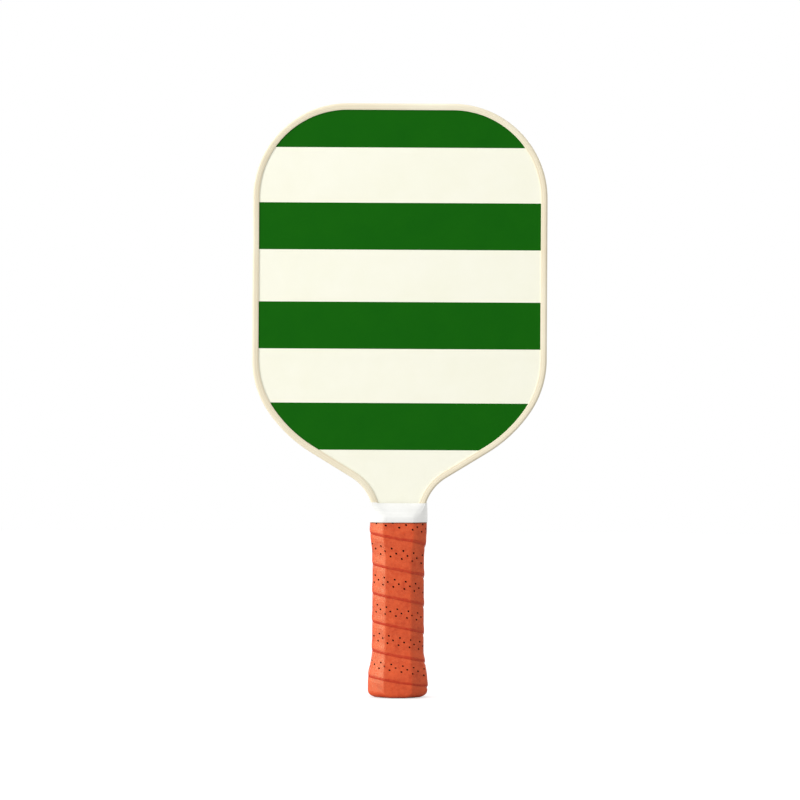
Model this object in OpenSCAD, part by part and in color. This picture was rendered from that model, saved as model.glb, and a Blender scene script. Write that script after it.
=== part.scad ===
// Pickleball paddle: a honeycomb-cored laminate with an octagonal handle wound in grip tape.
// It stands on its butt: +Z runs up the handle to the head, and the front face looks along -Y.
// The origin is the centre of the butt's flat bottom.

/* [Head] */
// Length from the butt to the top of the edge guard
overall_len = 407; // [395:0.5:430]
// Width over the edge guard
head_w = 202; // [196:0.5:208]
// Radius of the two top corners
corner_r = 65; // [50:0.5:80]
// Height at which the straight sides end and the shoulders begin
side_end_z = 232; // [230:0.5:240]
// Radius of the shoulder where it leaves the side
shoulder_r = 65; // [60:0.5:70]
// Angle turned on that first radius
shoulder_turn = 35; // [32:0.5:38]
// Radius of the shoulder's lower, flatter stretch
shoulder_low_r = 96; // [90:0.5:100]
// Angle between the shoulder's straight flank and the side
flank_angle = 58.6; // [57:0.1:60]
// Radius of the hollow curve from the flank into the neck
neck_r = 32; // [28:0.5:34]

/* [Laminate] */
// Thickness of the honeycomb core
core_t = 13; // [12:0.5:14]
// Thickness of each bonding film
bond_t = 0.15; // [0.1:0.05:0.2]
// Thickness of each glass-fibre face sheet
sheet_t = 0.5; // [0.4:0.05:0.6]
// Thickness of each printed film
film_t = 0.15; // [0.1:0.05:0.2]
// Distance between opposite walls of a honeycomb cell, measured at their middles
cell_pitch = 10; // [8:0.5:14]
// Thickness of the wall between two cells
cell_wall = 0.4; // [0.3:0.05:0.8]
// Width of the closed border that runs round the core
core_edge_w = 0.8; // [0.6:0.1:2]

/* [Stripes] */
// Height of each green band
stripe_h = 32.2; // [30:0.1:34]
// Heights of the lower edges of the green bands, from the lowest band up
stripe_bottoms = [169.6, 238.8, 306.7, 376.7]; // [160:0.1:380]

/* [Edge guard] */
// Thickness of the guard's wall round the rim
guard_web_t = 1.2; // [1:0.1:1.4]
// Thickness of the two lips that lie on the faces
guard_lip_t = 0.9; // [0.8:0.1:1]
// Width of the guard as seen from the front
guard_w = 4.5; // [4:0.1:5]
// Thickness of the adhesive tape between the guard and the rim
guard_tape_t = 0.3; // [0.2:0.05:0.3]
// Height of the guard's two ends, which the grip covers
guard_end_z = 109; // [109:0.5:112]

/* [Handle] */
// Width of the octagonal handle under the grip
handle_w = 31.5; // [30.5:0.1:31.5]
// Depth of that octagon from front to back
handle_d = 24.8; // [24:0.1:25.6]
// Width of the octagon's front flat
handle_flat_w = 16.6; // [15.6:0.1:17]
// Thickness of the adhesive tape under each handle pallet
pallet_tape_t = 0.2; // [0.1:0.05:0.3]
// Height at which the pallets draw in to pass between the guard's lips
pallet_step_z = 108; // [106:0.5:108.5]
// Height at which the top slope of the pallets starts
pallet_slope_z = 124; // [122:0.5:124]
// Height of the top of the handle pallets
pallet_top_z = 131; // [129:0.5:131.5]
// Wall left over the pockets in each pallet
pallet_skin_t = 1.6; // [1.4:0.1:2]
// Height of the lowest pocket's lower end
pocket_bottom_z = 16; // [15:0.5:20]
// Number of pockets moulded into each pallet
pocket_count = 5; // [4:1:6]
// Thickness of the ribs between the pockets
pocket_rib_t = 3; // [2:0.5:4]

/* [Butt cap] */
// Height of the butt cap
cap_h = 25; // [24:0.5:26]
// How far the cap's flare stands out beyond the handle
cap_flare = 2.75; // [2.5:0.05:3]
// Height up to which the flare keeps its full width
cap_full_z = 11; // [10:0.5:12]
// Thickness of the cap's wall at its upper edge
cap_lip_t = 0.7; // [0.6:0.1:0.9]
// Height of the rounded edge round the cap's bottom
cap_dome_h = 6; // [5:0.1:7]
// How far that edge draws in at the sides, down to the flat bottom
cap_dome_side = 6.5; // [5:0.1:7]
// How far it draws in at the front and back
cap_dome_face = 4; // [3:0.1:4.5]
// Thickness of the cap's floor
cap_floor_t = 3.5; // [3:0.1:4]
// Radius of the badge set into the cap's floor
badge_r = 8; // [7:0.5:9]
// Depth of the badge's recess
badge_recess = 0.6; // [0.5:0.1:1]
// Thickness of the badge
badge_t = 0.5; // [0.3:0.1:0.5]
// Width of each staple's crown
staple_w = 11; // [10:0.5:13]
// Length of each staple's legs
staple_leg = 6; // [5:0.5:6]
// Side of the square wire of the staples
staple_wire = 0.8; // [0.6:0.1:0.9]
// Height of the staples above the butt
staple_z = 8.5; // [7:0.5:10]

/* [Grip] */
// Thickness of the grip's double-sided adhesive tape
grip_tape_t = 0.15; // [0.1:0.05:0.2]
// Thickness of the grip's felt cushion
cushion_t = 0.85; // [0.7:0.05:0.9]
// Thickness of the grip's outer skin
skin_t = 0.8; // [0.7:0.05:0.9]
// Height of the grip's lower edge
grip_bottom_z = 0.5; // [0.3:0.1:1]
// Height at which the grip reaches the handle above the cap
grip_waist_z = 32; // [28:0.5:34]
// Height of the grip's top end, which the throat tape covers
grip_top_z = 125; // [124.5:0.5:126]

/* [Throat tape] */
// Height of the lower edge of the white throat tape
throat_bottom_z = 120; // [118:0.5:121]
// Height of its upper edge
throat_top_z = 133.7; // [133:0.1:135]
// Thickness of the tape's layers together, over the grip
throat_t = 0.45; // [0.4:0.05:0.6]
// Thickness at its upper edge, where there are fewer layers
throat_edge_t = 0.3; // [0.2:0.05:0.4]

/* [Hidden] */
$fn = 96;

cream = "#FCFBE9";
green = "#166104";
sand = "#E5D8B9";
orange = "#D65A38";
dark_red = "#4A120A";
paper_white = "#FAF9F5";
natural = "#E9E7DC";
glass_fibre = "#D9DBC6";
charcoal = "#2E2C2B";
steel = "#B8BBBE";
clear_amber = "#D8C58E";

// Sides of the paddle along Y
FRONT = -1;
BACK = 1;

// Depths of the laminate's surfaces, measured from its middle plane
y_core = core_t / 2;
y_bond = y_core + bond_t;
y_sheet = y_bond + sheet_t;
y_film = y_sheet + film_t;
y_pallet = y_film + pallet_tape_t;
y_guard = y_film + guard_lip_t;

half_w = head_w / 2;
laminate_inset = guard_web_t + guard_tape_t;
neck_half_w = handle_w / 2 + laminate_inset;
tang_bottom_z = cap_floor_t;
beyond = 30; // Reach of cutting shapes past the handle
gap = 0.05;  // Clearance between pieces that slant past each other

// ---- Outline of the head and neck: the right half as [x, z], with all its joins tangent ----

// Vector of length r that points a given angle below the +X direction
function along(angle, r) = [r * cos(angle), -r * sin(angle)];

corner_c = [half_w - corner_r, overall_len - corner_r];
shoulder_c = [half_w - shoulder_r, side_end_z];
shoulder_low_c = shoulder_c + along(shoulder_turn, shoulder_r - shoulder_low_r);
flank_top = shoulder_low_c + along(flank_angle, shoulder_low_r);
flank_len = (flank_top[0] - neck_r * (1 - cos(flank_angle)) - neck_half_w) / sin(flank_angle);
flank_end = flank_top - flank_len * [sin(flank_angle), cos(flank_angle)];
neck_c = flank_end + along(flank_angle, neck_r);

// Slice of a disc that bulges past the chord between two angles below the +X direction
module disc_slice(centre, r, from, to) {
    reach = 2 * r;
    translate(centre)
        intersection() {
            circle(r);
            polygon([[0, 0], along(from, reach), along((from + to) / 2, reach), along(to, reach)]);
        }
}

// Right half of the outline, drawn a distance d inside the guard's outer edge, down to low_z
module half_outline(d, low_z) {
    difference() {
        union() {
            polygon([
                [0, low_z],
                [neck_half_w - d, low_z],
                [neck_half_w - d, neck_c[1]],
                neck_c - along(flank_angle, neck_r + d),
                shoulder_low_c + along(flank_angle, shoulder_low_r - d),
                shoulder_low_c + along(shoulder_turn, shoulder_low_r - d),
                [half_w - d, side_end_z],
                [half_w - d, corner_c[1]],
                [corner_c[0], overall_len - d],
                [0, overall_len - d]
            ]);
            disc_slice(shoulder_low_c, shoulder_low_r - d, shoulder_turn, flank_angle);
            disc_slice(shoulder_c, shoulder_r - d, 0, shoulder_turn);
            disc_slice(corner_c, corner_r - d, -90, 0);
        }
        translate(neck_c) circle(neck_r + d);
    }
}

module both_halves(d, low_z) {
    half_outline(d, low_z);
    mirror([1, 0]) half_outline(d, low_z);
}

// Outline of the laminate with its tang, a distance d inside its own edge
module laminate_outline(d = 0) {
    both_halves(laminate_inset + d, tang_bottom_z + d);
}

// Slab of an [x, z] outline between two depths, on the front or the back
module layer(side, y_in, y_out) {
    translate([0, side * (y_in + y_out) / 2, 0])
        rotate([90, 0, 0])
            linear_extrude(y_out - y_in, center = true) children();
}

// ---- Laminate ----

// Half the width of the outline at a height, for choosing the cells that lie within it
function half_width(z) =
    z < neck_c[1] ? neck_half_w
    : z < flank_end[1] ? neck_c[0] - sqrt(pow(neck_r, 2) - pow(z - neck_c[1], 2))
    : z < flank_top[1] ? flank_end[0] + (z - flank_end[1]) * tan(flank_angle)
    : z < side_end_z ? shoulder_c[0] + sqrt(pow(shoulder_r, 2) - pow(min(side_end_z - z, shoulder_r), 2))
    : z < corner_c[1] ? half_w
    : corner_c[0] + sqrt(pow(corner_r, 2) - pow(min(z - corner_c[1], corner_r), 2));

module honeycomb_cells() {
    row_step = cell_pitch * sqrt(3) / 2;
    rows = floor(overall_len / row_step);
    columns = ceil(half_w / cell_pitch);
    cell_r = (cell_pitch - cell_wall) / sqrt(3);
    for (row = [0 : rows], column = [-columns : columns])
        let (x = (column + 0.5 * (row % 2)) * cell_pitch, z = row * row_step)
            if (abs(x) < half_width(z) + cell_pitch / 4)
                translate([x, z]) rotate(30) circle(cell_r, $fn = 6);
}

module honeycomb_core() {
    color(natural)
        rotate([90, 0, 0])
            linear_extrude(core_t, center = true)
                difference() {
                    laminate_outline();
                    intersection() {
                        laminate_outline(core_edge_w);
                        honeycomb_cells();
                    }
                }
}

module bond_film(side) {
    color(clear_amber) layer(side, y_core, y_bond) laminate_outline();
}

module face_sheet(side) {
    color(glass_fibre) layer(side, y_bond, y_sheet) laminate_outline();
}

// The bands of the printed film that are green
module stripe_areas() {
    for (z = stripe_bottoms)
        translate([-head_w, z]) square([2 * head_w, stripe_h]);
}

module film_green(side) {
    color(green)
        layer(side, y_sheet, y_film)
            intersection() {
                laminate_outline();
                stripe_areas();
            }
}

module film_cream(side) {
    color(cream)
        layer(side, y_sheet, y_film)
            difference() {
                laminate_outline();
                stripe_areas();
            }
}

// ---- Edge guard: a channel round the rim ----

// Band along the rim between two distances from the guard's outer edge
module rim_band(d_out, d_in) {
    difference() {
        both_halves(d_out, guard_end_z);
        both_halves(d_in, guard_end_z - 1);
    }
}

module edge_guard() {
    color(sand)
        difference() {
            layer(FRONT, -y_guard, y_guard) rim_band(0, guard_w);
            layer(FRONT, -y_film, y_film) both_halves(guard_web_t, guard_end_z - 1);
        }
}

module edge_guard_tape() {
    color(clear_amber)
        layer(FRONT, -y_film, y_film) rim_band(guard_web_t, laminate_inset);
}

// ---- Handle: octagonal bodies whose faces stand out from the handle by amounts set per height ----

bevel_run = (handle_w - handle_flat_w) / 2;
bevel_rise = handle_d / 2 - y_film;
bevel_angle = atan2(bevel_run, bevel_rise);

// Distance of a point from the middle of the handle, square to a bevel face
function bevel_distance(x, y) = cos(bevel_angle) * x + sin(bevel_angle) * y;
bevel_reach = bevel_distance(handle_w / 2, y_film);

// Levels are [z, side, face, bevel]: how far the side, front and bevel faces stand out at z
function even(z, stand_out) = [z, stand_out, stand_out, stand_out];
function thicker(levels, t) = [for (l = levels) [l[0], l[1] + t, l[2] + t, l[3] + t]];

module octagonal(levels) {
    intersection() {
        facing_pair(levels, 1, handle_w / 2, 0);
        facing_pair(levels, 2, handle_d / 2, 90);
        facing_pair(levels, 3, bevel_reach, bevel_angle);
        facing_pair(levels, 3, bevel_reach, -bevel_angle);
    }
}

// Two opposite faces of the body, turned about Z
module facing_pair(levels, column, base, turn) {
    last = len(levels) - 1;
    rotate([0, 0, turn])
        rotate([90, 0, 0])
            linear_extrude(2 * beyond, center = true)
                polygon(concat(
                    [for (i = [0 : last]) [base + levels[i][column], levels[i][0]]],
                    [for (i = [last : -1 : 0]) [-base - levels[i][column], levels[i][0]]]
                ));
}

// Outline between the pallet tape's or pallet's wide lower part and its narrow upper part
module between_lips() {
    lip_inner_x = neck_half_w - guard_w;
    translate([-handle_w / 2, tang_bottom_z]) square([handle_w, pallet_step_z - tang_bottom_z]);
    translate([-lip_inner_x + gap, tang_bottom_z])
        square([2 * (lip_inner_x - gap), pallet_top_z - tang_bottom_z]);
}

// The top slope ends this far above the laminate
pallet_top_t = 1;
pallet_levels = [
    even(tang_bottom_z, 0), even(pallet_slope_z, 0),
    [pallet_top_z, 0, y_pallet + pallet_top_t - handle_d / 2, 0]
];

module pallet(side) {
    pocket_step = (pallet_step_z - pocket_bottom_z) / pocket_count;
    pocket_h = pocket_step - pocket_rib_t;
    color(charcoal)
        difference() {
            intersection() {
                octagonal(pallet_levels);
                layer(side, y_pallet, beyond) between_lips();
            }
            for (i = [0 : pocket_count - 1])
                let (z = pocket_bottom_z + i * pocket_step)
                    octagonal([even(z, -pallet_skin_t), even(z + pocket_h, -pallet_skin_t)]);
            staple(side);
        }
}

module pallet_tape(side) {
    color(clear_amber)
        intersection() {
            octagonal([even(tang_bottom_z, 0), even(pallet_top_z, 0)]);
            layer(side, y_film, y_pallet) between_lips();
        }
}

// ---- Butt cap ----

// The dome has drawn in by 0.4 of its full amount at a third of its height
function dome_level(z, share) = [
    z, cap_flare - share * cap_dome_side, cap_flare - share * cap_dome_face,
    cap_flare - share * (cap_dome_side + cap_dome_face) / 2 * 1.15
];
cap_levels = [
    dome_level(0, 1), dome_level(cap_dome_h / 3, 0.4), even(cap_dome_h, cap_flare),
    even(cap_full_z, cap_flare), even(cap_h, cap_lip_t)
];

module butt_cap() {
    color(charcoal)
        difference() {
            octagonal(cap_levels);
            octagonal([even(cap_floor_t, 0), even(cap_h + 1, 0)]);
            translate([0, 0, -1]) cylinder(h = badge_recess + 1, r = badge_r);
            staple(FRONT);
            staple(BACK);
        }
}

// Staple pressed flush into the cap's wide face, with its legs in the pallet
module staple(side) {
    crown_y = handle_d / 2 + cap_flare;
    mirror([0, side == FRONT ? 0 : 1, 0])
        translate([-staple_w / 2, -crown_y, staple_z - staple_wire / 2]) {
            cube([staple_w, staple_wire, staple_wire]);
            for (x = [0, staple_w - staple_wire])
                translate([x, 0, 0]) cube([staple_wire, staple_leg, staple_wire]);
        }
}

module butt_cap_staples() {
    color(steel) {
        staple(FRONT);
        staple(BACK);
    }
}

module butt_badge() {
    color(sand)
        translate([0, 0, badge_recess - badge_t]) cylinder(h = badge_t, r = badge_r);
}

// ---- Grip: three layers of one wound strip ----

// How far the side and bevel faces swell out to pass over the guard's square corner
guard_swell = laminate_inset + gap;
guard_bevel_swell = bevel_distance(neck_half_w, y_guard) - bevel_reach + gap;

function column_at(levels, z, column) = lookup(z, [for (l = levels) [l[0], l[column]]]);
function level_at(levels, z) =
    [z, column_at(levels, z, 1), column_at(levels, z, 2), column_at(levels, z, 3)];

grip_levels = concat(
    [level_at(cap_levels, grip_bottom_z)],
    [for (l = cap_levels) if (l[0] > grip_bottom_z) l],
    [even(grip_waist_z, 0), even(guard_end_z - 6, 0)],
    [for (z = [guard_end_z - 0.2, grip_top_z]) [z, guard_swell, 0, guard_bevel_swell]]
);

// Layer of the grip between two distances from the surface of the handle and cap
module grip_layer(t_in, t_out) {
    difference() {
        octagonal(thicker(grip_levels, t_out));
        octagonal(past_ends(thicker(grip_levels, t_in)));
    }
}

// The same levels, carried straight on past both ends so that they cut cleanly
function past_ends(levels) = concat(
    [[levels[0][0] - 1, levels[0][1], levels[0][2], levels[0][3]]],
    levels,
    [let (l = levels[len(levels) - 1]) [l[0] + 1, l[1], l[2], l[3]]]
);

module grip_adhesive_tape() {
    color(clear_amber) grip_layer(0, grip_tape_t);
}

module grip_cushion() {
    color(dark_red) grip_layer(grip_tape_t, grip_tape_t + cushion_t);
}

module grip_wrap() {
    color(orange) grip_layer(grip_tape_t + cushion_t, grip_tape_t + cushion_t + skin_t);
}

// ---- Throat tape ----

module throat_tape() {
    over_grip = thicker([level_at(grip_levels, grip_top_z)], grip_tape_t + cushion_t + skin_t)[0];
    top_x = neck_half_w + neck_r - sqrt(pow(neck_r, 2) - pow(throat_top_z - neck_c[1], 2));
    over_rim = [
        throat_top_z, top_x - handle_w / 2 + gap, y_guard - handle_d / 2 + gap,
        bevel_distance(top_x, y_guard) - bevel_reach + gap
    ];
    lower = [throat_bottom_z, over_grip[1], over_grip[2], over_grip[3]];
    color(paper_white)
        difference() {
            octagonal(concat(thicker([lower, over_grip], throat_t), thicker([over_rim], throat_edge_t)));
            octagonal(past_ends([lower, over_grip, over_rim]));
        }
}

honeycomb_core();
bond_film(FRONT);  // front_bond_film
bond_film(BACK);  // back_bond_film
face_sheet(FRONT);  // front_face_sheet
face_sheet(BACK);  // back_face_sheet
film_cream(FRONT);  // front_film_cream
film_green(FRONT);  // front_film_green
film_cream(BACK);  // back_film_cream
film_green(BACK);  // back_film_green
edge_guard();
edge_guard_tape();
pallet(FRONT);  // front_pallet
pallet(BACK);  // back_pallet
pallet_tape(FRONT);  // front_pallet_tape
pallet_tape(BACK);  // back_pallet_tape
butt_cap();
butt_cap_staples();
butt_badge();
grip_adhesive_tape();
grip_cushion();
grip_wrap();
throat_tape();
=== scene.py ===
# %% [markdown]
# # A pickleball paddle
# The paddle is a honeycomb-cored board with a printed face, a moulded guard round its rim, and
# a handle wound in perforated grip tape. The imported model holds every real piece at its true
# size, and this lesson makes the pieces that show into what they really are: a channel swept
# round the rim, a strip that is perforated flat and then wound, and tape drawn tight round a
# neck. The cell below loads the imported model.

# %% Load the frame
import math

import bmesh
import bpy
from mathutils import Matrix, Vector, noise


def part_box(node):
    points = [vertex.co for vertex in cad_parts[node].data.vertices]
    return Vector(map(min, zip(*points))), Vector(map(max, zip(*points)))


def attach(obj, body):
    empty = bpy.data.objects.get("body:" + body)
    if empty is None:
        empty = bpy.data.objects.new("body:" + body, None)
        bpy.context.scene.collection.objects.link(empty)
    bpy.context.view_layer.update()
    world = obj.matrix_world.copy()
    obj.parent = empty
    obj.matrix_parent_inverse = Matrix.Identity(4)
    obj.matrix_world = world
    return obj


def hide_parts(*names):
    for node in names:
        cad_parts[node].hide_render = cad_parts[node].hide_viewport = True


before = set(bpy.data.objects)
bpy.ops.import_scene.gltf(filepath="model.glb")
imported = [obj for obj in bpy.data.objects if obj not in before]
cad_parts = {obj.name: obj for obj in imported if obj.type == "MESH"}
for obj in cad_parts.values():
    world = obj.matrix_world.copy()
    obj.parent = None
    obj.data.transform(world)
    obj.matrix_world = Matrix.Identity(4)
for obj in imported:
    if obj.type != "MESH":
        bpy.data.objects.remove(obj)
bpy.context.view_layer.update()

# %% [markdown]
# Everything is in metres, and so small that millimetres are easier to read. Sizes that the
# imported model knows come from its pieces' boxes. The radii of the outline don't show in a box,
# so they are named here with the model's own values. Points closer together than WELD count as
# one and the same.

# %% Sizes
MM = 0.001

guard_low, guard_high = (Vector(corner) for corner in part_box("edge_guard"))
grip_low, grip_high = (Vector(corner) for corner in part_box("grip_wrap"))
throat_low, throat_high = (Vector(corner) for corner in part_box("throat_tape"))
board_high = Vector(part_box("front_face_sheet")[1])

HALF_W = guard_high.x
TOP_Z = guard_high.z
GUARD_Y = guard_high.y
FACE_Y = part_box("back_film_cream")[1][1]
TANG_HALF_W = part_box("front_pallet_tape")[1][0]

CORNER_R = 65 * MM
SIDE_END_Z = 232 * MM
SHOULDER_R = 65 * MM
SHOULDER_TURN = math.radians(35)
SHOULDER_LOW_R = 96 * MM
FLANK_ANGLE = math.radians(58.6)
NECK_R = 32 * MM
GUARD_INSET = HALF_W - board_high.x
NECK_HALF_W = TANG_HALF_W + GUARD_INSET
WELD = 0.001 * MM

print(f"head {2 * HALF_W / MM:.1f} mm wide, {TOP_Z / MM:.1f} mm tall; "
      f"rim {2 * GUARD_Y / MM:.1f} mm deep")

# %% [markdown]
# The camera looks straight at the front face through a long lens from a good distance, as for a
# catalogue, so that the outline keeps its true proportions. It is rolled by a fraction of a
# degree, because nothing that is stood up by hand stands quite straight.

# %% Camera
VIEW_W = 547.6 * MM
VIEW_CENTRE = Vector((0.6 * MM, 0, 203.9 * MM))
CAMERA_DISTANCE = 2.4
CAMERA_ROLL = math.radians(0.3)

scene = bpy.context.scene
camera_data = bpy.data.cameras.new("camera")
camera_data.lens = camera_data.sensor_width * (CAMERA_DISTANCE - GUARD_Y) / VIEW_W
camera_data.clip_end = 50
camera = bpy.data.objects.new("camera", camera_data)
camera.location = VIEW_CENTRE - Vector((0, CAMERA_DISTANCE, 0))
camera.rotation_euler = (math.pi / 2, -CAMERA_ROLL, 0)
scene.collection.objects.link(camera)
scene.camera = camera
scene.view_settings.view_transform = "Standard"
print(f"lens {camera_data.lens:.0f} mm")

# %% [markdown]
# The light is a studio's: one large softbox well round to the left, which models the handle's
# bevels, and weaker ones above and behind, so that the back can be looked at too. The rest is
# soft light from all round. What the camera sees past the paddle is plain white, while the
# paddle itself is lit by a dimmer surround, because a bright one would lay a grey film over the
# dark green.

# %% World and softboxes
SURROUND = 0.575
LIGHT_AIM = Vector((0, 0, 0.22))

world = bpy.data.worlds.new("studio")
world.use_nodes = True
world_tree = world.node_tree
world_tree.nodes.clear()


def add(tree, kind, inputs=None, **settings):
    """Adds a node. Each input is a plain value, or another node's socket to link from."""
    node = tree.nodes.new(kind)
    for name, value in settings.items():
        setattr(node, name, value)
    for name, value in (inputs or {}).items():
        if isinstance(value, bpy.types.NodeSocket):
            tree.links.new(value, node.inputs[name])
        else:
            node.inputs[name].default_value = value
    return node


rays = add(world_tree, "ShaderNodeLightPath")
dim = add(world_tree, "ShaderNodeBackground", {"Color": (1, 1, 1, 1), "Strength": SURROUND})
seen = add(world_tree, "ShaderNodeBackground", {"Color": (1, 1, 1, 1), "Strength": 1.0})
either = add(world_tree, "ShaderNodeMixShader", {
    "Fac": rays.outputs["Is Camera Ray"], 1: dim.outputs[0], 2: seen.outputs[0]})
add(world_tree, "ShaderNodeOutputWorld", {"Surface": either.outputs[0]})
scene.world = world


def softbox(name, turn, height, distance, size, level):
    """An area light. turn is in degrees round to the left from the front, height above level;
    level is how bright it makes a white surface that faces it, 1.0 being full white."""
    turn, height = math.radians(turn), math.radians(height)
    away = Vector((-math.sin(turn) * math.cos(height), -math.cos(turn) * math.cos(height),
                   math.sin(height)))
    data = bpy.data.lights.new(name, "AREA")
    data.shape = "RECTANGLE"
    data.size, data.size_y = size
    data.energy = level * math.pi ** 2 * distance ** 2
    light = bpy.data.objects.new(name, data)
    light.location = LIGHT_AIM + away * distance
    light.rotation_euler = away.to_track_quat("Z", "Y").to_euler()
    scene.collection.objects.link(light)


softbox("key", 59, 9, 4.0, (1.6, 2.2), 0.78)
softbox("top", 20, 78, 3.0, (2.0, 2.0), 0.32)
softbox("back_left", 130, 20, 3.6, (1.8, 1.8), 0.35)
softbox("back_right", -140, 20, 3.6, (1.8, 1.8), 0.18)

# %% [markdown]
# Many finishes share a few effects: a soft mottle of colour, a fine grain in the surface, and
# streaks along something that was drawn or moulded lengthwise. Each effect is one node group
# that gives out a value, and every material places it with its own scale.

# %% Node groups for shared effects
def srgb(red, green, blue):
    """A colour as a paint chart gives it, 0 to 255, as the linear colour that nodes use."""
    def linear(value):
        value /= 255
        return value / 12.92 if value <= 0.04045 else ((value + 0.055) / 1.055) ** 2.4
    return (linear(red), linear(green), linear(blue), 1.0)


def new_group(name, inputs, outputs):
    """A shader node group; inputs maps a name to its default, and outputs lists names."""
    group = bpy.data.node_groups.new(name, "ShaderNodeTree")
    for label, default in inputs.items():
        kind = "NodeSocketVector" if default is None else "NodeSocketFloat"
        socket = group.interface.new_socket(label, in_out="INPUT", socket_type=kind)
        if default is not None:
            socket.default_value = default
    for label in outputs:
        group.interface.new_socket(label, in_out="OUTPUT", socket_type="NodeSocketFloat")
    return group, add(group, "NodeGroupInput"), add(group, "NodeGroupOutput")


mottle_group, given, result = new_group("soft_mottle", {"Vector": None, "Scale": 100.0}, ["Value"])
cloud = add(mottle_group, "ShaderNodeTexNoise", {
    "Vector": given.outputs["Vector"], "Scale": given.outputs["Scale"],
    "Detail": 4.0, "Roughness": 0.55})
spread = add(mottle_group, "ShaderNodeMapRange", {
    "Value": cloud.outputs["Fac"], "From Min": 0.32, "From Max": 0.68})
mottle_group.links.new(spread.outputs["Result"], result.inputs["Value"])

grain_group, given, result = new_group(
    "leather_grain", {"Vector": None, "Scale": 900.0}, ["Height", "Pores"])
cells = add(grain_group, "ShaderNodeTexVoronoi", {
    "Vector": given.outputs["Vector"], "Scale": given.outputs["Scale"], "Randomness": 0.9},
    feature="DISTANCE_TO_EDGE")
pebble = add(grain_group, "ShaderNodeMapRange", {
    "Value": cells.outputs["Distance"], "From Max": 0.35}, interpolation_type="SMOOTHSTEP")
dust = add(grain_group, "ShaderNodeTexNoise", {
    "Vector": given.outputs["Vector"], "Scale": given.outputs["Scale"], "Detail": 2.0})
both = add(grain_group, "ShaderNodeMath", {
    0: pebble.outputs["Result"], 1: dust.outputs["Fac"]}, operation="MULTIPLY")
pores = add(grain_group, "ShaderNodeMapRange", {
    "Value": cells.outputs["Distance"], "From Max": 0.12, "To Min": 1.0, "To Max": 0.0})
grain_group.links.new(both.outputs[0], result.inputs["Height"])
grain_group.links.new(pores.outputs["Result"], result.inputs["Pores"])

streak_group, given, result = new_group(
    "drawn_streaks", {"Across": 0.0, "Vector": None, "Count": 900.0, "Break": 25.0}, ["Value"])
lane = add(streak_group, "ShaderNodeTexNoise", {
    "W": given.outputs["Across"], "Scale": given.outputs["Count"], "Detail": 3.0},
    noise_dimensions="1D")
breaks = add(streak_group, "ShaderNodeTexNoise", {
    "Vector": given.outputs["Vector"], "Scale": given.outputs["Break"], "Detail": 2.0})
faded = add(streak_group, "ShaderNodeMath", {
    0: lane.outputs["Fac"], 1: breaks.outputs["Fac"]}, operation="MULTIPLY")
wide = add(streak_group, "ShaderNodeMapRange", {
    "Value": faded.outputs[0], "From Min": 0.12, "From Max": 0.40})
streak_group.links.new(wide.outputs["Result"], result.inputs["Value"])
print("node groups:", [group.name for group in bpy.data.node_groups])

# %% [markdown]
# A material starts from the same bench: a Principled shader with its constants set on its own
# sockets, the object's coordinates, and helpers that place a group, mix two colours by a mask,
# and raise a bump from a height.

# %% Helpers for materials
def new_material(name, **constants):
    """A material and its tree, shader and object coordinates; constants are shader sockets."""
    material = bpy.data.materials.new(name)
    material.use_nodes = True
    tree = material.node_tree
    shader = tree.nodes["Principled BSDF"]
    for label, value in constants.items():
        shader.inputs[label.replace("_", " ").title().replace("Ior", "IOR")].default_value = value
    place = add(tree, "ShaderNodeTexCoord").outputs["Object"]
    return material, tree, shader, place


def use_group(tree, group, **inputs):
    """Places a shared effect; its inputs are values or sockets, as for add."""
    return add(tree, "ShaderNodeGroup", inputs, node_tree=group)


def mix(tree, mask, first, second):
    """The colour first where the mask is 0, and second where it is 1."""
    return add(tree, "ShaderNodeMix", {0: mask, 6: first, 7: second}, data_type="RGBA").outputs[2]


def span(tree, value, low, high, start=0.0, end=1.0):
    """Stretches a value from start..end to low..high."""
    node = add(tree, "ShaderNodeMapRange", {
        "Value": value, "From Min": start, "From Max": end, "To Min": low, "To Max": high})
    return node.outputs["Result"]


def bump(tree, shader, height, depth):
    """Raises the surface by depth metres where the height is 1."""
    node = add(tree, "ShaderNodeBump", {"Height": height, "Distance": depth})
    tree.links.new(node.outputs["Normal"], shader.inputs["Normal"])


def paint(name, material):
    """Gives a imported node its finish."""
    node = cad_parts[name]
    node.data.materials.clear()
    node.data.materials.append(material)

# %% [markdown]
# The face is a printed film over a glass-fibre sheet. It is flat and clean, but not a mirror:
# the film follows the weave a little, and fine grit in the lacquer helps it grip the ball. So
# its gloss is broken by a grain much finer than a millimetre, and its colour hardly varies.

# %% Printed films
def printed_film(name, colour, deeper):
    """A clean satin film of one colour, which is a little deeper in soft patches."""
    material, tree, shader, place = new_material(name, roughness=0.45, specular_ior_level=0.1)
    clouds = use_group(tree, mottle_group, Vector=place, Scale=45.0)
    tree.links.new(mix(tree, clouds.outputs["Value"], colour, deeper), shader.inputs["Base Color"])
    grit = use_group(tree, grain_group, Vector=place, Scale=1600.0)
    tree.links.new(span(tree, grit.outputs["Height"], 0.48, 0.38), shader.inputs["Roughness"])
    bump(tree, shader, grit.outputs["Height"], 0.03 * MM)
    return material


cream_film = printed_film("cream_film", srgb(253, 252, 235), srgb(251, 250, 231))
green_film = printed_film("green_film", srgb(9, 94, 0), srgb(13, 97, 0))
for side in ("front", "back"):
    paint(side + "_film_cream", cream_film)
    paint(side + "_film_green", green_film)
print("films painted")

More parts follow.
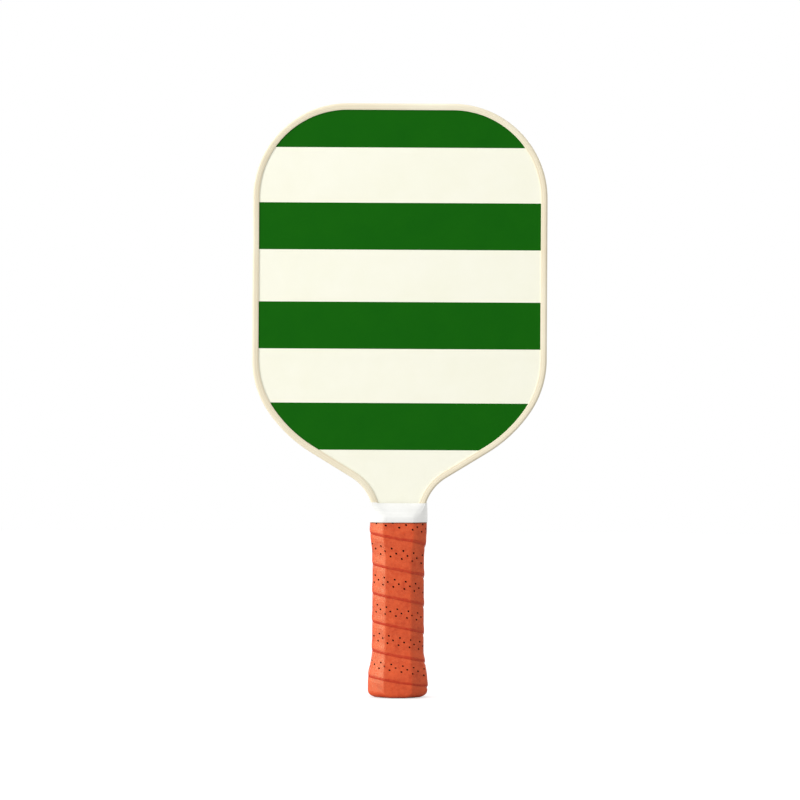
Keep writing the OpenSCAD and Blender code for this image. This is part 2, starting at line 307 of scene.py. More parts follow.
# %% [markdown]
# The edge guard is a soft moulded channel that grips the rim: a wall round the outside and a
# thin lip on each face. Its section is the same all the way, so it is drawn once, as a face
# whose corners are bevelled round, and then carried along the rim. Straights are extruded and
# bends are spun about their own centres, which keeps every join smooth, and the left half is a
# mirror image. A number stored on each vertex of the section is copied along with it, and tells
# the material how far round the section it is, so that the streaks run lengthwise.

# %% Outline of the rim
def along(angle, radius):
    """A vector that points the given angle below the +X direction."""
    return Vector((radius * math.cos(angle), 0, -radius * math.sin(angle)))


corner_centre = Vector((HALF_W - CORNER_R, 0, TOP_Z - CORNER_R))
shoulder_centre = Vector((HALF_W - SHOULDER_R, 0, SIDE_END_Z))
shoulder_low_centre = shoulder_centre + along(SHOULDER_TURN, SHOULDER_R - SHOULDER_LOW_R)
flank_top = shoulder_low_centre + along(FLANK_ANGLE, SHOULDER_LOW_R)
flank_width = flank_top.x - NECK_R * (1 - math.cos(FLANK_ANGLE)) - NECK_HALF_W
flank_run = flank_width / math.sin(FLANK_ANGLE)
flank_step = flank_run * Vector((math.sin(FLANK_ANGLE), 0, math.cos(FLANK_ANGLE)))
neck_centre = flank_top - flank_step + along(FLANK_ANGLE, NECK_R)
print(f"the neck is narrowest {neck_centre.z / MM:.1f} mm above the butt")

# %% Section of the guard
GUARD_W = 4.5 * MM
GUARD_WALL = 1.2 * MM
LIP_TIP = 0.6 * MM
GUARD_CORNER_R = 1.6 * MM
TIP_R = 0.25 * MM


def guard_section(bm):
    """The section's ring of edges at the right-hand lower end. Its layer "across" numbers the
    vertices by their distance round the section."""
    across = bm.verts.layers.float.new("across")
    start = Vector((NECK_HALF_W, 0, guard_low.z))
    half = [(0, GUARD_Y), (GUARD_W, FACE_Y + LIP_TIP), (GUARD_W, FACE_Y), (GUARD_WALL, FACE_Y)]
    ring = half + [(depth, -y) for depth, y in reversed(half)]
    face = bm.faces.new([bm.verts.new(start + Vector((-depth, y, 0))) for depth, y in ring])
    corners = list(face.verts)
    bmesh.ops.bevel(bm, geom=[corners[1], corners[-2]], offset=TIP_R, segments=2, profile=0.5,
                    affect="VERTICES", material=-1)
    outer = [v for v in bm.verts if abs(v.co.x - NECK_HALF_W) < WELD]
    bmesh.ops.bevel(bm, geom=outer, offset=GUARD_CORNER_R, segments=7, profile=0.5,
                    affect="VERTICES", material=-1)
    face = bm.faces[:][0]
    travelled = 0.0
    for loop in face.loops:
        loop.vert[across] = travelled
        travelled += (loop.link_loop_next.vert.co - loop.vert.co).length
    edges = list(face.edges)
    bmesh.ops.delete(bm, geom=[face], context="FACES_ONLY")
    return edges


section_mesh = bmesh.new()
print("edges in the section:", len(guard_section(section_mesh)))
section_mesh.free()

# %% [markdown]
# Every new piece ends in the same way: its mesh gets outward normals, smooth shading with sharp
# edges where it turns a corner, its material, and its place in the frame. On the way there, a
# ring of edges is carried on in one of two ways, straight or round a centre.

# %% Helpers for new pieces
def finish_piece(name, bm, material, replaced, smooth=35):
    """Makes a piece of a bmesh with outward normals, under the root, and hides what it replaces.
    On a wound strip the operator may take the inside for the outside, which its volume shows."""
    bmesh.ops.recalc_face_normals(bm, faces=bm.faces)
    if bm.calc_volume(signed=True) < 0:
        bmesh.ops.reverse_faces(bm, faces=bm.faces)
    mesh = bpy.data.meshes.new(name)
    bm.to_mesh(mesh)
    bm.free()
    mesh.shade_smooth()
    mesh.set_sharp_from_angle(angle=math.radians(smooth))
    mesh.materials.append(material)
    piece = bpy.data.objects.new(name, mesh)
    scene.collection.objects.link(piece)
    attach(piece, "root")
    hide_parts(*replaced)
    print(f"{name}: {len(mesh.vertices)} vertices, {len(mesh.polygons)} faces")


def extrude_ring(bm, edges, step, count=1):
    """Carries a ring of edges on by a step, in count equal parts."""
    for _ in range(count):
        made = bmesh.ops.extrude_edge_only(bm, edges=edges)["geom"]
        moved = [g for g in made if isinstance(g, bmesh.types.BMVert)]
        bmesh.ops.translate(bm, vec=step / count, verts=moved)
        ends = set(moved)
        edges = [g for g in made if isinstance(g, bmesh.types.BMEdge) and set(g.verts) <= ends]
    return edges


def spin_ring(bm, edges, centre, angle, steps):
    """Carries a ring of edges round a centre; a positive angle turns +Z towards +X."""
    verts = list({v for edge in edges for v in edge.verts})
    made = bmesh.ops.spin(bm, geom=verts + edges, cent=centre, axis=(0, 1, 0), angle=angle,
                          steps=steps, dvec=(0, 0, 0), use_merge=False)["geom_last"]
    return [g for g in made if isinstance(g, bmesh.types.BMEdge)]

# %% [markdown]
# The guard is a dull, sand-coloured plastic. The way it is made leaves faint streaks that run
# along it, a little darker and rougher than the rest, and they break off here and there.

# %% Finish of the guard
guard_plastic, tree, shader, place = new_material(
    "sand_plastic", roughness=0.5, specular_ior_level=0.4)
across = add(tree, "ShaderNodeAttribute", attribute_name="across").outputs["Fac"]
streaks = use_group(tree, streak_group, Across=across, Vector=place, Count=1500.0, Break=18.0)
clouds = use_group(tree, mottle_group, Vector=place, Scale=28.0)
pale = mix(tree, clouds.outputs["Value"], srgb(250, 243, 220), srgb(245, 236, 209))
tree.links.new(mix(tree, span(tree, streaks.outputs["Value"], 0.0, 0.6), pale, srgb(224, 206, 172)),
               shader.inputs["Base Color"])
tree.links.new(span(tree, streaks.outputs["Value"], 0.44, 0.58), shader.inputs["Roughness"])
skin_grain = use_group(tree, grain_group, Vector=place, Scale=2200.0)
relief = add(tree, "ShaderNodeMath", {
    0: streaks.outputs["Value"], 1: skin_grain.outputs["Height"]}, operation="ADD").outputs[0]
bump(tree, shader, relief, 0.03 * MM)
print(f"finish of the guard: {len(tree.nodes)} nodes")

# %% Sweep the guard round the rim
bm = bmesh.new()
ring = guard_section(bm)
ring = extrude_ring(bm, ring, Vector((0, 0, neck_centre.z - guard_low.z)), 4)
ring = spin_ring(bm, ring, neck_centre, FLANK_ANGLE, 18)
ring = extrude_ring(bm, ring, flank_step, 6)
ring = spin_ring(bm, ring, shoulder_low_centre, SHOULDER_TURN - FLANK_ANGLE, 14)
ring = spin_ring(bm, ring, shoulder_centre, -SHOULDER_TURN, 16)
ring = extrude_ring(bm, ring, Vector((0, 0, corner_centre.z - SIDE_END_Z)), 10)
ring = spin_ring(bm, ring, corner_centre, -math.pi / 2, 40)
ring = extrude_ring(bm, ring, Vector((-corner_centre.x, 0, 0)), 4)
bmesh.ops.mirror(bm, geom=bm.verts[:] + bm.edges[:] + bm.faces[:], matrix=Matrix.Identity(4),
                 merge_dist=WELD, axis="X")
bmesh.ops.remove_doubles(bm, verts=bm.verts, dist=WELD)
bmesh.ops.holes_fill(bm, edges=[e for e in bm.edges if e.is_boundary], sides=0)
finish_piece("guard_channel", bm, guard_plastic, ["edge_guard"])

# %% [markdown]
# The handle is an octagon with soft corners, wider at the butt, where the cap flares, and just
# below the throat, where the guard's ends lie under the grip. The grip, its felt and the throat
# tape all follow that surface at some distance out from it. So one function gives the surface:
# how far out each flat lies at a height, and from that a point on the outline. The outline is
# divided into columns, a whole number for each flat and for each corner, so that a mesh whose
# columns are these has its edges exactly along the corners. At the very bottom the flats draw in
# by a power of the height, which makes the rounding short on the faces and longer on the sides.

# %% Flats of the handle
SIDE_REACH = 15.75 * MM
FACE_REACH = 12.4 * MM
BEVEL_REACH = 14.92 * MM
BEVEL_TURN = math.radians(55.6)
GRIP_ROUND = 0.8 * MM
TAPE_ROUND = 4.5 * MM
RIM_ROUND = 1.4 * MM
TAPE_ROUND_Z = (118 * MM, 126 * MM)
RIM_ROUND_START_Z = 128 * MM
FLAT_BULGE = 0.2 * MM
FLARE = 2.75 * MM
FLARE_FULL_Z = 11 * MM
FLARE_END_Z = 33 * MM
DOME_H = 6 * MM
DOME_DRAW = {"side": 6.5 * MM, "bevel": 6.0 * MM, "face": 4 * MM}
DOME_CURVE = {"side": 3, "bevel": 4, "face": 7}
COLLAR_START_Z = 95 * MM
COLLAR_END_Z = 115 * MM
COLLAR = {"side": 1.75 * MM, "bevel": 1.0 * MM, "face": 0.0}
TAPE_START_Z = 124 * MM
RIM_REACH = {"side": 19.0 * MM, "bevel": 16.9 * MM, "face": 8.35 * MM}
GRIP_T = 1.8 * MM


def smooth(start, end, value):
    """0 up to start, 1 from end on, and an even curve between them."""
    share = min(max((value - start) / (end - start), 0.0), 1.0)
    return share * share * (3 - 2 * share)


def reach(flat, z):
    """Distance of a flat of the handle from the middle of the handle, at a height."""
    at_rest = {"side": SIDE_REACH, "bevel": BEVEL_REACH, "face": FACE_REACH}[flat]
    flare = FLARE * (1 - smooth(FLARE_FULL_Z, FLARE_END_Z, z))
    dome = DOME_DRAW[flat] * max(1 - z / DOME_H, 0.0) ** DOME_CURVE[flat]
    on_handle = at_rest + flare - dome + COLLAR[flat] * smooth(COLLAR_START_Z, COLLAR_END_Z, z)
    towards_rim = min(max((z - TAPE_START_Z) / (throat_high.z - TAPE_START_Z), 0.0), 1.0)
    return on_handle + (RIM_REACH[flat] - GRIP_T - on_handle) * towards_rim


def rounding(z):
    """Radius of the corners, which is largest where the tape bridges the end of the grip."""
    to_rim = smooth(RIM_ROUND_START_Z, throat_high.z, z)
    under_tape = TAPE_ROUND + (RIM_ROUND - TAPE_ROUND) * to_rim
    return GRIP_ROUND + (under_tape - GRIP_ROUND) * smooth(*TAPE_ROUND_Z, z)


FLATS = [("face", -math.pi / 2, 17), ("bevel", -BEVEL_TURN, 9), ("side", 0.0, 14),
         ("bevel", BEVEL_TURN, 9), ("face", math.pi / 2, 17), ("bevel", math.pi - BEVEL_TURN, 9),
         ("side", math.pi, 14), ("bevel", math.pi + BEVEL_TURN, 9)]
CORNER_COLUMNS = {"face": 2, "side": 3}
for flat in ("face", "bevel", "side"):
    print(flat, [round(reach(flat, z * MM) / MM, 2) for z in (0, 3, 9, 20, 60, 105, 120, 133)])

# %% A point on the outline
spans = []
for number, (flat, turn, columns) in enumerate(FLATS):
    after = FLATS[(number + 1) % len(FLATS)]
    corner = CORNER_COLUMNS[flat if flat != "bevel" else after[0]]
    spans += [("flat", number, columns), ("corner", number, corner)]
COLUMNS = sum(columns for _, _, columns in spans)
span_of_column = [(kind, number, start, columns)
                  for place, (kind, number, columns) in enumerate(spans)
                  for start in [sum(s[2] for s in spans[:place])] for _ in range(columns)]


def corner_point(number, z):
    """Middle of the rounding between a flat and the next one."""
    (flat_a, a, _), (flat_b, b, _) = FLATS[number], FLATS[(number + 1) % len(FLATS)]
    reach_a, reach_b = reach(flat_a, z) - rounding(z), reach(flat_b, z) - rounding(z)
    spread = math.sin(b - a)
    return Vector(((reach_a * math.sin(b) - reach_b * math.sin(a)) / spread,
                   (reach_b * math.cos(a) - reach_a * math.cos(b)) / spread, z))


def on_handle(column, z, out):
    """The point out metres beyond the handle's surface. Column 0 is where the front flat
    starts on the left, and columns count round towards the right."""
    column %= COLUMNS
    kind, number, start, columns = span_of_column[int(column)]
    share = (column - start) / columns
    turn = FLATS[number][1]
    if kind == "flat":
        place = corner_point(number - 1, z).lerp(corner_point(number, z), share)
        out += FLAT_BULGE * 4 * share * (1 - share)
    else:
        place = corner_point(number, z)
        turn += share * ((FLATS[(number + 1) % len(FLATS)][1] - turn) % (2 * math.pi))
    return place + (rounding(z) + out) * Vector((math.cos(turn), math.sin(turn), 0))


ring = [on_handle(column, 60 * MM, GRIP_T) for column in range(COLUMNS)]
girth = sum((ring[i] - ring[i - 1]).length for i in range(COLUMNS))
print(f"{COLUMNS} columns, {girth / MM:.1f} mm round the grip")

# %% [markdown]
# Under the grip's skin is a thin felt cushion, which shows only as the dark bottom of each air
# hole. It is a closed sleeve: a ring is carried up in steps, given its thickness, and only then
# bent to the handle, because its radius and height are then plain numbers to read back.

# %% Felt cushion
FELT_IN = 0.15 * MM
FELT_OUT = 0.97 * MM
SLEEVE_R = 17 * MM
SLEEVE_STEPS = 40

felt, tree, shader, place = new_material("grip_felt", roughness=0.95, specular_ior_level=0.1)
fuzz = use_group(tree, mottle_group, Vector=place, Scale=1200.0)
tree.links.new(mix(tree, fuzz.outputs["Value"], srgb(24, 6, 4), srgb(40, 10, 6)),
               shader.inputs["Base Color"])
bump(tree, shader, fuzz.outputs["Value"], 0.15 * MM)

bm = bmesh.new()
bmesh.ops.create_circle(bm, cap_ends=False, segments=COLUMNS, radius=SLEEVE_R)
bmesh.ops.translate(bm, vec=(0, 0, grip_low.z), verts=bm.verts)
extrude_ring(bm, bm.edges[:], Vector((0, 0, grip_high.z - grip_low.z)), SLEEVE_STEPS)
bmesh.ops.recalc_face_normals(bm, faces=bm.faces)
bmesh.ops.solidify(bm, geom=bm.faces[:], thickness=FELT_OUT - FELT_IN)
radii = [math.hypot(v.co.x, v.co.y) for v in bm.verts]
middle_r = (min(radii) + max(radii)) / 2
for vert in bm.verts:
    column = math.floor(math.atan2(vert.co.y, vert.co.x) / (2 * math.pi) * COLUMNS)
    outside = math.hypot(vert.co.x, vert.co.y) > middle_r
    vert.co = on_handle(column, vert.co.z, FELT_OUT if outside else FELT_IN)
finish_piece("felt_sleeve", bm, felt, ["grip_cushion"])

# %% [markdown]
# The skin of the grip is a long perforated strip, wound upwards from the butt so that each turn
# laps over the one below it. It is made as the real one is: cut flat, punched, given its
# thickness, and then wound. Flat, it is a grid whose columns are those of the handle, and which
# is a little shorter per turn than the girth, because the girth is taken on the outer surface.
# Each hole starts as one vertex of the grid that gets diagonals, and a vertex bevel opens it to
# an octagon, which is taken out. A row of holes is given by its row of the grid and by the shift
# of its first hole in columns.

# %% Sizes of the strip
PITCH = 19.85 * MM
STRIP_GIRTH = girth - 3 * MM
CLIMB = math.atan(PITCH / STRIP_GIRTH)
COLUMN_W = STRIP_GIRTH / COLUMNS
ROWS = 26
ROW_H = 5 / 6 * MM
FIRST_COLUMN = -226
LAST_COLUMN = 692
HOLE_R = 0.66 * MM
HOLE_EVERY = 8
HOLE_ROWS = [(10, 5), (13, 1), (16, 4)]
FIRST_HOLE_COLUMN = -56
print(f"the strip is {(LAST_COLUMN - FIRST_COLUMN) * COLUMN_W / MM:.0f} mm long "
      f"and {ROWS * ROW_H / MM:.1f} mm wide")

# %% Punch the strip
bm = bmesh.new()
columns = LAST_COLUMN - FIRST_COLUMN
bmesh.ops.create_grid(bm, x_segments=columns, y_segments=ROWS, size=0.5)
bmesh.ops.translate(bm, vec=(0.5, 0.5, 0), verts=bm.verts)
bmesh.ops.scale(bm, vec=(columns * COLUMN_W, ROWS * ROW_H, 1), verts=bm.verts)
bmesh.ops.translate(bm, vec=(FIRST_COLUMN * COLUMN_W, 0, 0), verts=bm.verts)

grid = {(round(v.co.x / COLUMN_W), round(v.co.y / ROW_H)): v for v in bm.verts}
holes = [(column, row) for row, phase in HOLE_ROWS
         for column in range(FIRST_HOLE_COLUMN + phase, LAST_COLUMN - 1, HOLE_EVERY)]
diagonals = [grid[column + i, row + j] for column, row in holes for i in (-1, 1) for j in (-1, 1)]
centres = [grid[hole] for hole in holes]
bmesh.ops.connect_verts(bm, verts=centres + diagonals)
opened = bmesh.ops.bevel(bm, geom=centres, offset=HOLE_R, segments=1, profile=0.5,
                         affect="VERTICES", material=-1)["faces"]
bmesh.ops.delete(bm, geom=opened, context="FACES_ONLY")
bmesh.ops.recalc_face_normals(bm, faces=bm.faces)
bmesh.ops.solidify(bm, geom=bm.faces[:], thickness=GRIP_T - FELT_OUT)
print(len(holes), "holes punched,", len(bm.faces), "faces")

# %% [markdown]
# A turn of the grip isn't flat in section. Its lower edge is rolled over and stands proud as a
# crest, which is pressed down again where the throat tape goes over it. Its upper edge is skived
# thin, and tucks in below the next turn. So two short functions say how far the outer and the
# inner surface stand off the handle at each place across the strip.

# %% Section of a turn
ROLL_H = 1.6 * MM
ROLL_DEPTH = 0.62 * MM
ROLL_CURVE = 1.6
CREST = 0.3 * MM
CREST_END = 7.0 * MM
CREST_PRESSED_Z = (116 * MM, 119 * MM)
TUCK_START = 16.8 * MM
TUCK_END = 20.0 * MM
TUCK_DEPTH = 0.5 * MM
LAP_T = 0.3 * MM
LAP_GAP = 0.02 * MM
LAP_SLOPE = (2.2 * MM, 5 * MM)


def outer_skin(across, z):
    """How far the strip's outer surface stands off the handle, across its width."""
    crest = CREST * (1 - smooth(2 * ROLL_H, CREST_END, across)) * (1 - smooth(*CREST_PRESSED_Z, z))
    roll = ROLL_DEPTH * max(1 - across / ROLL_H, 0.0) ** ROLL_CURVE
    tuck = TUCK_DEPTH * smooth(TUCK_START, TUCK_END, across)
    return GRIP_T + crest - roll - tuck


def inner_skin(across):
    """The same for its inner surface, which lies on the turn below and then on the felt."""
    return FELT_OUT + (LAP_T + LAP_GAP) * (1 - smooth(*LAP_SLOPE, across))


for share in (0, 0.05, 0.1, 0.5, 0.9, 1):
    place_across = share * ROWS * ROW_H
    print(f"{place_across / MM:4.1f} mm across: {inner_skin(place_across) / MM:.2f} to "
          f"{outer_skin(place_across, 60 * MM) / MM:.2f} mm out")

# %% [markdown]
# Winding is a formula for each vertex: its place along the strip gives the column and the climb,
# and its place across gives the height within the turn. A hand doesn't wind evenly, though. The
# first turn is lifted and crowded by the flare of the butt, the turns lean a little across the
# front, and two stretches sit slightly high. After that the strip is trimmed level at both ends,
# and the cuts are closed. That leaves a few large faces, and those are cut into triangles.

# %% Wind the strip round the handle
FIRST_SEAM_Z = 7.75 * MM
START_COLUMN = 8
FRONT_CENTRE = FLATS[0][2] / 2
LEAN = 0.15 * MM
BUTT_LIFT = 2.85 * MM
BUTT_LIFT_Z = (12 * MM, 28 * MM)
BUTT_CROWD = 0.3
LOOSE_LOW = 0.6 * MM
LOW_RISE_Z = (14 * MM, 26 * MM)
LOW_FADE_Z = (50 * MM, 62 * MM)
LOOSE_TOP = 1.4 * MM
TOP_RISE_Z = (90 * MM, 107 * MM)
MAX_CORNERS = 8


def wound(flat, middle_z):
    """Place on the handle of a point of the flat strip."""
    column = START_COLUMN - flat.x / COLUMN_W
    turn = (column - FRONT_CENTRE) / COLUMNS
    z = FIRST_SEAM_Z + PITCH * flat.x / COLUMN_W / COLUMNS + flat.y / math.cos(CLIMB)
    z -= LEAN * math.sin(2 * math.pi * turn)
    z += BUTT_LIFT * (1 - smooth(*BUTT_LIFT_Z, z)) + BUTT_CROWD * max(FIRST_SEAM_Z - z, 0.0)
    z += LOOSE_LOW * (smooth(*LOW_RISE_Z, z) - smooth(*LOW_FADE_Z, z))
    z += LOOSE_TOP * smooth(*TOP_RISE_Z, z)
    outside = flat.z > middle_z
    return on_handle(column, z, outer_skin(flat.y, z) if outside else inner_skin(flat.y))


across_layer = bm.verts.layers.float.new("across")
depth_layer = bm.verts.layers.float.new("depth")
depths = [v.co.z for v in bm.verts]
middle_z = (min(depths) + max(depths)) / 2
for vert in bm.verts:
    vert[across_layer] = vert.co.y
    vert[depth_layer] = 1.0 if vert.co.z < middle_z else 0.0
    vert.co = wound(vert.co, middle_z)

for cut_z, keep_up in ((grip_low.z, True), (grip_high.z, False)):
    bmesh.ops.bisect_plane(bm, geom=bm.verts[:] + bm.edges[:] + bm.faces[:], dist=WELD,
                           plane_co=(0, 0, cut_z), plane_no=(0, 0, 1),
                           clear_inner=keep_up, clear_outer=not keep_up)
    bmesh.ops.holes_fill(bm, edges=[e for e in bm.edges if e.is_boundary], sides=0)
bmesh.ops.triangulate(bm, faces=[f for f in bm.faces if len(f.verts) > MAX_CORNERS])
print("open edges left:", len([e for e in bm.edges if not e.is_manifold]))

# %% [markdown]
# The skin is dyed synthetic leather. Its grain is a pebble of about half a millimetre with soft
# mottling, and its gloss is low and a little uneven. Along the rolled edge of each turn the colour
# is darkened to a dark red line down the winding: painted shade, where the roll turns down. The
# attribute "across" says how far each point is from that edge, so the line follows the strip
# wherever it goes. Another, "depth", is 0 on the outer surface and 1 on the inner one, and paints
# shade on the cut sides, the walls of the holes and the edge of the strip. The gloss is tinted a
# little, so that the bevel that faces the light stays orange and doesn't turn pink. A thin painted
# shadow darkens the grip just below where the throat tape begins.

# %% Finish of the grip
# The painted seam shade: how far its edge wanders, and where it fades out.
SEAM_WANDER = 0.55 * MM
SEAM_FADE_START = 1.45 * MM
SEAM_FADE_END = 2.25 * MM
# The band of painted shadow just below the throat tape's edge.
TAPE_SHADOW_START_Z = throat_low.z - 0.9 * MM
TAPE_SHADOW_END_Z = throat_low.z - 0.1 * MM

leather, tree, shader, place = new_material(
    "grip_leather", roughness=0.45, specular_ior_level=0.8, specular_tint=srgb(231, 255, 203))
across = add(tree, "ShaderNodeAttribute", attribute_name="across").outputs["Fac"]
clouds = use_group(tree, mottle_group, Vector=place, Scale=130.0)
blotches = use_group(tree, mottle_group, Vector=place, Scale=420.0)
grain = use_group(tree, grain_group, Vector=place, Scale=1900.0)
pebbles = use_group(tree, grain_group, Vector=place, Scale=800.0)
dye_and_shade = mix(tree, clouds.outputs["Value"], srgb(234, 80, 34), srgb(204, 51, 13))
dye_and_shade = mix(tree, span(tree, blotches.outputs["Value"], 0.0, 0.6), dye_and_shade, srgb(241, 94, 50))
dye_and_shade = mix(tree, span(tree, grain.outputs["Pores"], 0.0, 0.30), dye_and_shade, srgb(150, 36, 12))

# Painted shade: a dark red line along the rolled lower edge of each turn, where the roll turns
# down.
wander = add(tree, "ShaderNodeMath", {
    0: span(tree, clouds.outputs["Value"], -SEAM_WANDER, SEAM_WANDER), 1: across},
    operation="ADD")
seam_shade = span(tree, wander.outputs[0], 1.0, 0.0, start=SEAM_FADE_START, end=SEAM_FADE_END)
patchy = span(tree, blotches.outputs["Value"], 1.0, 0.55)
seam_shade = add(tree, "ShaderNodeMath", {0: seam_shade, 1: patchy}, operation="MULTIPLY").outputs[0]
dye_and_shade = mix(tree, seam_shade, dye_and_shade, srgb(200, 25, 0))
depth = add(tree, "ShaderNodeAttribute", attribute_name="depth").outputs["Fac"]
# Painted shade on the cut sides: the walls of the holes and the strip's edge.
dye_and_shade = mix(tree, span(tree, depth, 0.0, 1.0, start=0.05, end=0.3), dye_and_shade, srgb(64, 12, 6))
height = add(tree, "ShaderNodeSeparateXYZ", {"Vector": place}).outputs["Z"]
# Painted shadow: a thin dark band on the grip just below the throat tape's edge.
tape_edge_shadow = span(tree, height, 0.0, 0.75, start=TAPE_SHADOW_START_Z, end=TAPE_SHADOW_END_Z)
tree.links.new(mix(tree, tape_edge_shadow, dye_and_shade, srgb(96, 30, 16)), shader.inputs["Base Color"])
tree.links.new(span(tree, blotches.outputs["Value"], 0.36, 0.52), shader.inputs["Roughness"])
relief = add(tree, "ShaderNodeMath", {
    0: pebbles.outputs["Height"], 1: 1.6, 2: grain.outputs["Height"]}, operation="MULTIPLY_ADD")
bump(tree, shader, relief.outputs[0], 0.06 * MM)
finish_piece("wound_grip", bm, leather, ["grip_wrap"], smooth=50)

# %% [markdown]
# The throat tape closes off the top of the grip. It is a narrow white vinyl strip wound two and
# a half times, each turn a little higher than the last, and pulled down over the end of the grip
# onto the rim, so that it makes a short cone. It is wound like the grip, from a flat strip, but
# stretchy tape also puckers a little, which a smooth noise field adds, and its upper edge is
# pressed down onto the face between the lips of the guard. It starts on the back, and ends near
# the left edge of the front.

# %% Wind the throat tape
TAPE_TURNS = 2.45
TAPE_RISE = 1.2 * MM
TAPE_LAYER = 0.15 * MM
TAPE_T = 0.8 * TAPE_LAYER
TAPE_ROWS = 16
TAPE_LIFT = 0.05 * MM
PUCKER = 0.09 * MM
PUCKER_SCALE = 160.0
PUCKER_SQUASH = 2.2
TAPE_BACK_COLUMN = 66
SINK = 1.05 * MM
SINK_START_Z = 131 * MM
SINK_SHARES = (0.06, 0.22)


def between_lips(column):
    """1 in the middle of a face of the board, and 0 over the guard's lips and on its sides."""
    column %= COLUMNS
    kind, number, start, columns = span_of_column[int(column)]
    if kind == "corner" or FLATS[number][0] != "face":
        return 0.0
    share = (column - start) / columns
    return smooth(*SINK_SHARES, share) * smooth(*SINK_SHARES, 1 - share)


bm = bmesh.new()
columns = int(TAPE_TURNS * COLUMNS)
tape_w = throat_high.z - throat_low.z - TAPE_RISE
bmesh.ops.create_grid(bm, x_segments=columns, y_segments=TAPE_ROWS, size=0.5)
bmesh.ops.translate(bm, vec=(0.5, 0.5, 0), verts=bm.verts)
bmesh.ops.scale(bm, vec=(columns * COLUMN_W, tape_w, 1), verts=bm.verts)
bmesh.ops.recalc_face_normals(bm, faces=bm.faces)
bmesh.ops.solidify(bm, geom=bm.faces[:], thickness=TAPE_T)
top_depth = max(v.co.z for v in bm.verts)
across_layer = bm.verts.layers.float.new("across")
for vert in bm.verts:
    turns = vert.co.x / COLUMN_W / COLUMNS
    z = throat_low.z + TAPE_RISE * turns / TAPE_TURNS + vert.co.y
    column = TAPE_BACK_COLUMN + turns * COLUMNS
    out = GRIP_T + TAPE_LIFT + TAPE_LAYER * (turns + 1) - (top_depth - vert.co.z)
    out -= SINK * between_lips(column) * smooth(SINK_START_Z, throat_high.z, z)
    place_now = on_handle(column, z, out)
    field = Vector((place_now.x, place_now.y, PUCKER_SQUASH * z)) * PUCKER_SCALE
    out += PUCKER * noise.noise(field)
    vert[across_layer] = vert.co.y
    vert.co = on_handle(column, z, out)
print(f"the tape is {columns * COLUMN_W / MM:.0f} mm long and {tape_w / MM:.1f} mm wide")

# %% [markdown]
# The white vinyl has a grey colour for what it reflects, and on top of that a weak painted glow,
# which lifts its shaded facets towards white. Fine creases run along it, as in any tape that is
# pulled tight; they are raised as a bump, and painted shade darkens their colour.

# %% Finish of the throat tape
# The emission is a painted glow that brightens the whole tape.
vinyl, tree, shader, place = new_material(
    "throat_vinyl", roughness=0.55, specular_ior_level=0.35, emission_strength=0.3)
clouds = use_group(tree, mottle_group, Vector=place, Scale=90.0)
across = add(tree, "ShaderNodeAttribute", attribute_name="across").outputs["Fac"]
creases_and_shade = use_group(tree, streak_group, Across=across, Vector=place, Count=900.0, Break=60.0)
tone = mix(tree, clouds.outputs["Value"], srgb(208, 208, 204), srgb(202, 202, 197))
# Painted shade: the colour is darker along the creases.
tree.links.new(mix(tree, span(tree, creases_and_shade.outputs["Value"], 0.0, 0.5), tone,
                   srgb(180, 180, 176)), shader.inputs["Base Color"])
tree.links.new(span(tree, clouds.outputs["Value"], 0.48, 0.6), shader.inputs["Roughness"])
bump(tree, shader, creases_and_shade.outputs["Value"], 0.06 * MM)
finish_piece("wound_throat_tape", bm, vinyl, ["throat_tape"])

# %% [markdown]
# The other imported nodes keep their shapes. Most are closed inside the paddle, yet each gets the
# finish of what it is made of, so that it looks right when the paddle is taken apart.

# %% Finishes of the inner parts
def plain_finish(name, light, dark, scale, depth, rough=(0.45, 0.6), **constants):
    """A finish with soft mottling, a fine grain of its own scale, and uneven gloss."""
    material, tree, shader, place = new_material(name, **constants)
    clouds = use_group(tree, mottle_group, Vector=place, Scale=scale / 8)
    grain = use_group(tree, grain_group, Vector=place, Scale=scale)
    tree.links.new(mix(tree, clouds.outputs["Value"], light, dark), shader.inputs["Base Color"])
    tree.links.new(span(tree, grain.outputs["Height"], rough[1], rough[0]),
                   shader.inputs["Roughness"])
    bump(tree, shader, grain.outputs["Height"], depth)
    return material


polymer = plain_finish("core_polymer", srgb(236, 234, 224), srgb(222, 219, 206), 900.0, 0.02 * MM)
adhesive = plain_finish("clear_adhesive", srgb(222, 206, 156), srgb(208, 188, 132), 500.0,
                        0.02 * MM, rough=(0.15, 0.3))
charcoal = plain_finish("charcoal_plastic", srgb(48, 46, 45), srgb(38, 36, 35), 1400.0, 0.05 * MM)
staple_steel = plain_finish("staple_steel", srgb(190, 193, 197), srgb(168, 171, 176), 2500.0,
                            0.01 * MM, rough=(0.25, 0.4), metallic=1.0)
badge_finish = plain_finish("badge_plastic", srgb(233, 221, 192), srgb(222, 208, 176), 1400.0,
                            0.03 * MM)

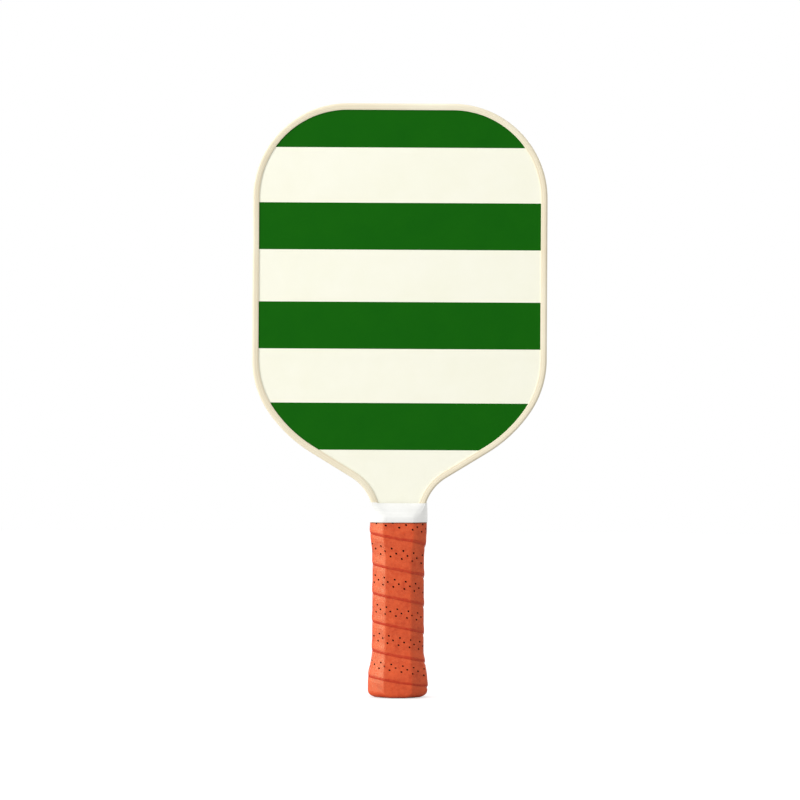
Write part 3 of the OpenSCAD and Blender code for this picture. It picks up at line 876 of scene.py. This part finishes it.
glass_cloth, tree, shader, place = new_material("glass_cloth", roughness=0.3, coat_weight=0.4)
turned = add(tree, "ShaderNodeMapping", {"Vector": place, "Rotation": (0, math.radians(45), 0)})
threads = []
for axis in ("X", "Z"):
    wave = add(tree, "ShaderNodeTexWave", {
        "Vector": turned.outputs["Vector"], "Scale": 160.0, "Distortion": 0.6, "Detail": 1.0},
        wave_type="BANDS", bands_direction=axis)
    threads.append(wave.outputs["Fac"])
cloth = add(tree, "ShaderNodeMath", {0: threads[0], 1: threads[1]}, operation="MULTIPLY")
tree.links.new(mix(tree, cloth.outputs[0], srgb(196, 200, 176), srgb(222, 225, 206)),
               shader.inputs["Base Color"])
bump(tree, shader, cloth.outputs[0], 0.05 * MM)

for name, material in {
        "honeycomb_core": polymer, "front_bond_film": adhesive, "back_bond_film": adhesive,
        "front_face_sheet": glass_cloth, "back_face_sheet": glass_cloth,
        "edge_guard_tape": adhesive, "front_pallet": charcoal, "back_pallet": charcoal,
        "front_pallet_tape": adhesive, "back_pallet_tape": adhesive, "butt_cap": charcoal,
        "butt_cap_staples": staple_steel, "butt_badge": badge_finish,
        "grip_adhesive_tape": adhesive}.items():
    paint(name, material)
print(len(bpy.data.materials), "materials")

# %% [markdown]
# The paddle stands on its butt on a pale floor, whose edge is far enough away never to be seen.
# A white floor would throw a lot of light up and flatten the bevels, so it is a grey that glows
# for the camera only: it is seen as white, with a faint shadow, and throws back less.

# %% Floor
FLOOR_R = 3.0
FLOOR_GLOW = 0.62

bm = bmesh.new()
bmesh.ops.create_circle(bm, cap_ends=True, segments=96, radius=FLOOR_R)
floor_mesh = bpy.data.meshes.new("floor")
bm.to_mesh(floor_mesh)
bm.free()
floor = bpy.data.objects.new("floor", floor_mesh)
scene.collection.objects.link(floor)
paper, tree, shader, place = new_material("floor_paper", roughness=0.9)
clouds = use_group(tree, mottle_group, Vector=place, Scale=3.0)
tree.links.new(mix(tree, clouds.outputs["Value"], srgb(190, 190, 190), srgb(184, 184, 184)),
               shader.inputs["Base Color"])
glow = add(tree, "ShaderNodeEmission", {"Color": (1, 1, 1, 1), "Strength": FLOOR_GLOW})
both = add(tree, "ShaderNodeAddShader", {0: shader.outputs[0], 1: glow.outputs[0]})
rays = add(tree, "ShaderNodeLightPath")
either = add(tree, "ShaderNodeMixShader", {
    "Fac": rays.outputs["Is Camera Ray"], 1: shader.outputs[0], 2: both.outputs[0]})
tree.links.new(either.outputs[0], tree.nodes["Material Output"].inputs["Surface"])
floor_mesh.materials.append(paper)

# %% [markdown]
# Last, the view layer is brought up to date. The looks must not change the paddle's size.

# %% Update the scene
bpy.context.view_layer.update()
